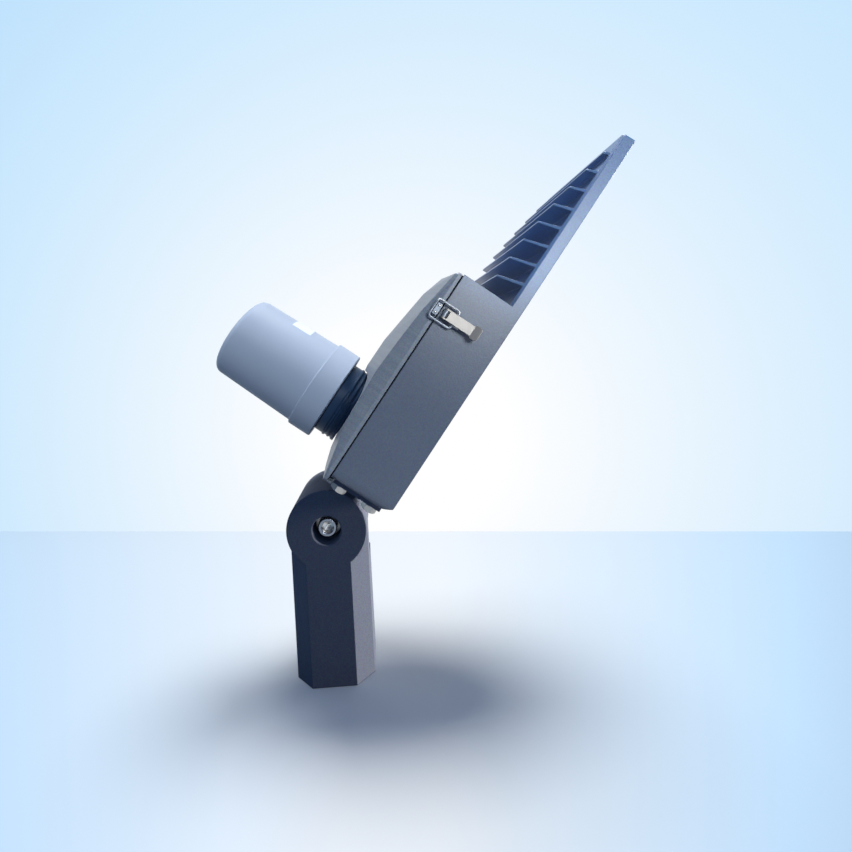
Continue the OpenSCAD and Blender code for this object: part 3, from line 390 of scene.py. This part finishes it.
# Moulded and rubber pieces. The controller is light grey plastic with a fine spark finish, the
# receptacle is nearly black, and the gaskets are matt black silicone.
def moulding(name, colour, rough, grain_depth):
    """Dull plastic or rubber, faintly mottled, with a spark finish of grain_depth metres."""
    material, add, link = new_material(name)
    coords = add.new("ShaderNodeTexCoord")
    grain = add.new("ShaderNodeTexNoise")
    grain.inputs["Scale"].default_value = 1500
    mottle = add.new("ShaderNodeTexNoise")
    mottle.inputs["Scale"].default_value = 25
    tint = add.new("ShaderNodeMix")
    tint.data_type = "RGBA"
    tint.inputs["A"].default_value = (*[c * 0.93 for c in colour], 1)
    tint.inputs["B"].default_value = (*colour, 1)
    bump = add.new("ShaderNodeBump")
    bump.inputs["Strength"].default_value = 0.2
    bump.inputs["Distance"].default_value = grain_depth
    rounded = add.new("ShaderNodeBevel")
    rounded.samples = 6
    rounded.inputs["Radius"].default_value = 0.0006
    plastic = add.new("ShaderNodeBsdfPrincipled")
    plastic.inputs["Roughness"].default_value = rough
    plastic.inputs["Specular IOR Level"].default_value = 0.12
    out = add.new("ShaderNodeOutputMaterial")
    link(coords.outputs["Object"], grain.inputs["Vector"])
    link(coords.outputs["Object"], mottle.inputs["Vector"])
    link(mottle.outputs["Fac"], tint.inputs["Factor"])
    link(tint.outputs["Result"], plastic.inputs["Base Color"])
    link(grain.outputs["Fac"], bump.inputs["Height"])
    link(rounded.outputs["Normal"], bump.inputs["Normal"])
    link(bump.outputs["Normal"], plastic.inputs["Normal"])
    link(plastic.outputs["BSDF"], out.inputs["Surface"])
    return material


dress(moulding("controller_grey", (0.39, 0.46, 0.58), 0.46, 0.00005), "controller_base", "controller_cap")
dress(moulding("receptacle_black", (0.022, 0.050, 0.105), 0.40, 0.00005), "receptacle")
dress(moulding("silicone_black", (0.012, 0.013, 0.016), 0.65, 0.0001), "wire_grommet", "lens_gasket", "lid_gasket",
      "receptacle_gasket")
dress(moulding("surge_black", (0.03, 0.035, 0.045), 0.5, 0.0001), "surge_protector")
dress(moulding("terminal_white", (0.75, 0.75, 0.71), 0.45, 0.00005), "terminal_block")
dress(moulding("board_white", (0.80, 0.82, 0.80), 0.35, 0.00003), "led_board")
dress(moulding("phosphor_yellow", (0.86, 0.68, 0.16), 0.30, 0.00003), "led_chips")
dress(moulding("board_green", (0.05, 0.22, 0.12), 0.35, 0.00003), "controller_board")
dress(steel("driver_case", (0.70, 0.72, 0.75), 0.42, (1, 0.1, 1)), "led_driver")
dress(steel("contact_brass", (0.80, 0.62, 0.26), 0.25, (1, 1, 1)), "receptacle_contacts", "controller_prongs")


# Lens plate. It is one clear plastic moulding over the LED board, with a lens over each chip. It
# lies on its gasket, and the lens screws draw it down.
lens_clear, add, link = new_material("lens_clear")
clear = add.new("ShaderNodeBsdfPrincipled")
clear.inputs["Base Color"].default_value = (0.93, 0.96, 0.98, 1)
clear.inputs["Roughness"].default_value = 0.08
clear.inputs["IOR"].default_value = 1.49
clear.inputs["Transmission Weight"].default_value = 0.92
link(clear.outputs["BSDF"], add.new("ShaderNodeOutputMaterial").inputs["Surface"])
dress(lens_clear, "lens_plate")


# Hexagon screws. Four M8 screws hold the lug to the housing and two clamp the sleeve on its pole.
# They are cold-forged steel with a broken edge round a dished head, and each stopped at its own angle.
def lathe(name, steps, rings):
    """A closed mesh round z. Each ring has a height and a radius, which are numbers or functions of the angle."""
    turns = [2 * math.pi * k / steps for k in range(steps)]
    verts = []
    for height, radius in rings:
        for turn in turns:
            r = radius(turn) if callable(radius) else radius
            z = height(turn) if callable(height) else height
            verts.append((r * math.cos(turn), r * math.sin(turn), z))
    faces = [(i * steps + k, i * steps + (k + 1) % steps, (i + 1) * steps + (k + 1) % steps, (i + 1) * steps + k)
             for i in range(len(rings) - 1) for k in range(steps)]
    faces.append(tuple(reversed(range(steps))))
    faces.append(tuple(range(len(verts) - steps, len(verts))))
    mesh = bpy.data.meshes.new(name)
    mesh.from_pydata(verts, [], faces)
    return mesh


def hexagon(flats):
    """The radius of a hexagon at an angle, with a corner at angle 0."""
    return lambda turn: flats / 2 / math.cos((turn % (math.pi / 3)) - math.pi / 6)


def repeats(name, part, places, material, spin, seed):
    """One plain mesh with a copy of part at each place, its z axis along the place's facing."""
    points = bpy.data.meshes.new(name + "_points")
    points.from_pydata([at for at, facing in places], [], [])
    facings = points.attributes.new("facing", "FLOAT_VECTOR", "POINT")
    for item, (at, facing) in zip(facings.data, places):
        item.vector = facing
    group = bpy.data.node_groups.new(name + "_repeat", "GeometryNodeTree")
    sockets = {}
    for label, kind in (("Points", "NodeSocketGeometry"), ("Part", "NodeSocketObject"),
                        ("Finish", "NodeSocketMaterial"), ("Spin", "NodeSocketFloat"), ("Seed", "NodeSocketInt")):
        sockets[label] = group.interface.new_socket(label, in_out="INPUT", socket_type=kind).identifier
    group.interface.new_socket("Pieces", in_out="OUTPUT", socket_type="NodeSocketGeometry")
    add, link = group.nodes.new, group.links.new
    given = add("NodeGroupInput").outputs
    source = add("GeometryNodeObjectInfo")
    facing = add("GeometryNodeInputNamedAttribute")
    facing.data_type = "FLOAT_VECTOR"
    facing.inputs["Name"].default_value = "facing"
    align = add("FunctionNodeAlignRotationToVector")
    align.axis = "Z"
    angle = add("FunctionNodeRandomValue")
    angle.data_type = "FLOAT"
    back = add("ShaderNodeMath")
    back.operation = "MULTIPLY"
    back.inputs[1].default_value = -1
    twist = add("FunctionNodeAxisAngleToRotation")
    turned = add("FunctionNodeRotateRotation")
    turned.rotation_space = "LOCAL"
    copies = add("GeometryNodeInstanceOnPoints")
    solid = add("GeometryNodeRealizeInstances")
    finish = add("GeometryNodeSetMaterial")
    link(given["Part"], source.inputs["Object"])
    link(facing.outputs["Attribute"], align.inputs["Vector"])
    link(given["Spin"], back.inputs[0])
    link(back.outputs[0], angle.inputs[2])
    link(given["Spin"], angle.inputs[3])
    link(given["Seed"], angle.inputs["Seed"])
    link(angle.outputs[1], twist.inputs["Angle"])
    link(align.outputs["Rotation"], turned.inputs["Rotation"])
    link(twist.outputs["Rotation"], turned.inputs["Rotate By"])
    link(given["Points"], copies.inputs["Points"])
    link(source.outputs["Geometry"], copies.inputs["Instance"])
    link(turned.outputs["Rotation"], copies.inputs["Rotation"])
    link(copies.outputs["Instances"], solid.inputs["Geometry"])
    link(solid.outputs["Geometry"], finish.inputs["Geometry"])
    link(given["Finish"], finish.inputs["Material"])
    link(finish.outputs["Geometry"], add("NodeGroupOutput").inputs["Pieces"])
    model = add_piece(name + "_model", part)
    piece = add_piece(name, points)
    repeat = piece.modifiers.new("repeat", "NODES")
    repeat.node_group = group
    repeat[sockets["Part"]] = model
    repeat[sockets["Finish"]] = material
    repeat[sockets["Spin"]] = spin
    repeat[sockets["Seed"]] = seed
    seen = piece.evaluated_get(bpy.context.evaluated_depsgraph_get())
    mesh = bpy.data.meshes.new_from_object(seen)
    piece.modifiers.remove(repeat)
    piece.data = mesh
    bpy.data.objects.remove(model)
    return piece


def hex_screw(name, flats, head_h, shank_d, shank_l):
    """The head stands on z = 0 and the shank goes down from there."""
    corner = hexagon(flats)
    edge = lambda turn: head_h - (corner(turn) - 0.46 * flats) * 0.55
    return lathe(name, 48, [
        (-shank_l, shank_d / 2 - 0.0006), (-shank_l + 0.0006, shank_d / 2), (0, shank_d / 2), (0, 0.47 * flats),
        (0.0003, corner), (edge, corner), (head_h, 0.45 * flats), (head_h, 0.33 * flats),
        (head_h - 0.0003, 0.30 * flats)])


head = Matrix.Translation((0, 0, pivot_height)) @ Matrix.Rotation(head_tilt, 4, "Y")
along = head.to_3x3() @ Vector((1, 0, 0))
flange_face = 0.0484
flange_middle = -0.0015
flange_places = [(head @ Vector((flange_face, y, flange_middle + z)), -along)
                 for y in (-0.056, 0.056) for z in (-0.0155, 0.0155)]
m8_flange = hex_screw("m8_flange", flats=0.01282, head_h=0.00544, shank_d=0.008, shank_l=0.0184)
flange_screws = repeats("flange_screws", m8_flange, flange_places, dark_steel, spin=0.22, seed=4)
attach(flange_screws, "head")
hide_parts("flange_bolts")
sleeve_rear = 0.03655
sleeve_places = [((0, sleeve_rear, z), (0, 1, 0)) for z in (0.022, 0.064)]
m8_clamp = hex_screw("m8_clamp", flats=0.01129, head_h=0.00528, shank_d=0.008, shank_l=0.0055)
sleeve_screws = repeats("sleeve_screws", m8_clamp, sleeve_places, turned_steel, spin=0.4, seed=9)
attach(sleeve_screws, "sleeve")
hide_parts("clamp_screws")


# Pivot screw. It is an M12 cap screw across the knuckle, with a knurled head and a hexagon socket
# that ends in the drill's cone. It sits on its washer at the bottom of the recess.
def knurl(turn):
    """The radius of the knurled head, with 48 ridges round it."""
    return 0.009 - 0.00022 * (round(turn * 48 / math.pi) % 2)


socket_wall = hexagon(0.00998)
socket_reach = 0.0055
washer_face = -0.01755
cap_screw = add_piece("pivot_cap_screw", lathe("pivot_cap_screw", 96, [
    (-0.0535, 0.0052), (-0.0527, 0.006), (0, 0.006), (0, 0.0086), (0.0004, 0.0089), (0.0006, knurl), (0.0103, knurl),
    (0.0105, 0.0089), (0.0111, 0.0089), (0.0120, 0.0080), (0.0120, 0.0062), (0.0116, socket_wall),
    (0.0060, socket_wall), (0.0058, 0.0048), (0.0045, 0.0004)]), knurl_steel)
cap_screw.data.materials.append(turned_steel)
for face in cap_screw.data.polygons:
    if face.center.xy.length < socket_reach and face.center.z > 0:
        face.material_index = 1
cap_screw.data.transform(Matrix.Translation((0, washer_face, pivot_height))
                         @ Matrix.Rotation(math.radians(90), 4, "X"))
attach(cap_screw, "sleeve")
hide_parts("pivot_bolt")


# Latch rivets. Each keeper and each latch plate is held by two dome rivets of soft steel, set in
# from outside. Their heads stand about half a millimetre proud of the pressed plates.
rivet = lathe("rivet", 20, [(-0.0004, 0.00115), (0.0001, 0.00115), (0.0003, 0.00100), (0.00046, 0.00070),
                            (0.00054, 0.00030)])
latch_x = 0.2192
keeper_y, keeper_z = 0.0899, 0.0305
plate_y, plate_z = 0.0860, 0.0092
for side, outward in (("near", -1), ("far", 1)):
    facing = (0, outward, 0)
    keeper_places = [(head @ Vector((latch_x + x, outward * keeper_y, keeper_z)), facing)
                     for x in (-0.0031, 0.0031)]
    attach(repeats("keeper_rivets_" + side, rivet, keeper_places, dark_steel, spin=0.0, seed=1), "lid")
    plate_places = [(head @ Vector((latch_x + x, outward * plate_y, plate_z)), facing)
                    for x in (-0.0030, 0.0030)]
    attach(repeats("plate_rivets_" + side, rivet, plate_places, dark_steel, spin=0.0, seed=1), "head")


# Controller label. A blank white label of laminated paper is wrapped round the upper side of the
# cap. It has no print, and it is glued on, so it stands out by its own thickness only.
cap_x = 0.102
label_rows = [(0.1135, 0.04256), (0.1235, 0.04227), (0.1335, 0.04198)]
label_start, label_step = -27, 2.1
across = 25
sheet_points = across * len(label_rows)
label_verts = []
for lift in (0.00004, 0.00020):
    for z, r in label_rows:
        for k in range(across):
            turn = math.radians(label_start + label_step * k)
            label_verts.append(head @ Vector((cap_x + (r + lift) * math.cos(turn),
                                              (r + lift) * math.sin(turn), z)))
label_faces = []
for row in range(len(label_rows) - 1):
    for k in range(across - 1):
        a = row * across + k
        back = a + sheet_points
        label_faces += [(a, a + across, a + across + 1, a + 1),
                        (back, back + 1, back + across + 1, back + across)]
right_edge = [(row + 1) * across - 1 for row in range(len(label_rows))]
left_edge = [row * across for row in range(len(label_rows))]
far_row = list(range(right_edge[-1] - 1, left_edge[-1] - 1, -1))
border = list(range(across)) + right_edge[1:] + far_row + left_edge[-2:0:-1]
for a, b in zip(border, border[1:] + border[:1]):
    label_faces.append((a, b, b + sheet_points, a + sheet_points))
label_mesh = bpy.data.meshes.new("controller_label")
label_mesh.from_pydata(label_verts, [], label_faces)
label = add_piece("controller_label", label_mesh, moulding("label_paper", (0.62, 0.68, 0.78), 0.38, 0.00002))
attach(label, "controller")
bpy.data.collections["cap_lamp_flag"].objects.link(label)


# Wiring in the compartment. Three mains wires come in through the grommet to the terminal block,
# two go on to the driver, and a red and a black one leave it for the LED board. They are stranded
# copper in soft plastic, and they keep the bends that they were laid in.
def wire(name, colour, points):
    """A wire through points given in millimetres in the head's own frame."""
    line = bpy.data.curves.new(name, "CURVE")
    line.dimensions = "3D"
    line.resolution_u = 8
    line.bevel_depth = 0.0011
    line.bevel_resolution = 3
    line.use_fill_caps = True
    spline = line.splines.new("BEZIER")
    spline.bezier_points.add(len(points) - 1)
    for knot, at in zip(spline.bezier_points, points):
        knot.co = head @ (Vector(at) / 1000)
        knot.handle_left_type = knot.handle_right_type = "AUTO"
    bent = bpy.data.objects.new(name + "_line", line)
    scene.collection.objects.link(bent)
    mesh = bpy.data.meshes.new_from_object(bent.evaluated_get(bpy.context.evaluated_depsgraph_get()))
    bpy.data.objects.remove(bent)
    mesh.materials.clear()
    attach(add_piece(name, mesh, moulding(name + "_skin", colour, 0.38, 0.00002)), "head")


brown, blue = (0.16, 0.06, 0.03), (0.02, 0.12, 0.45)
first_clamp, clamp_pitch = 26.7, 9.6
for k, (name, colour) in enumerate((("wire_brown", brown), ("wire_blue", blue),
                                    ("wire_green", (0.10, 0.42, 0.08)))):
    y = first_clamp + clamp_pitch * k
    wire(name, colour, [(57, 16 + 2.6 * k, 1.5 - 1.5 * (k % 2)), (74, 17 + 3 * k, 0), (104, 22 + 7 * k, 3 + k),
                        (128, y, 2.5), (133, y, -3), (133, y, -14)])
for k, (name, colour) in enumerate((("wire_line", brown), ("wire_neutral", blue))):
    y = 55.5 + clamp_pitch * k
    wire(name, colour, [(133, y, -14), (133, y, -3), (127, y + 0.5, 1), (112 - 4 * k, y - 4, -12),
                        (104 - 4 * k, 30, -20), (104 - 4 * k, 0, -21), (110 - 4 * k, -26 - 5 * k, -16),
                        (129, -36 - 5 * k, -8)])
for k, (name, colour) in enumerate((("wire_red", (0.50, 0.03, 0.02)), ("wire_black", (0.02, 0.02, 0.025)))):
    wire(name, colour, [(235, -40 + 5 * k, -10), (241, -36 + 5 * k, -12), (244 + 2 * k, -22 + 2 * k, -20),
                        (244 + 2 * k, -9 + 3 * k, -22), (249, -3 + 4 * k, -22.5), (254, -3 + 4 * k, -22.5)])
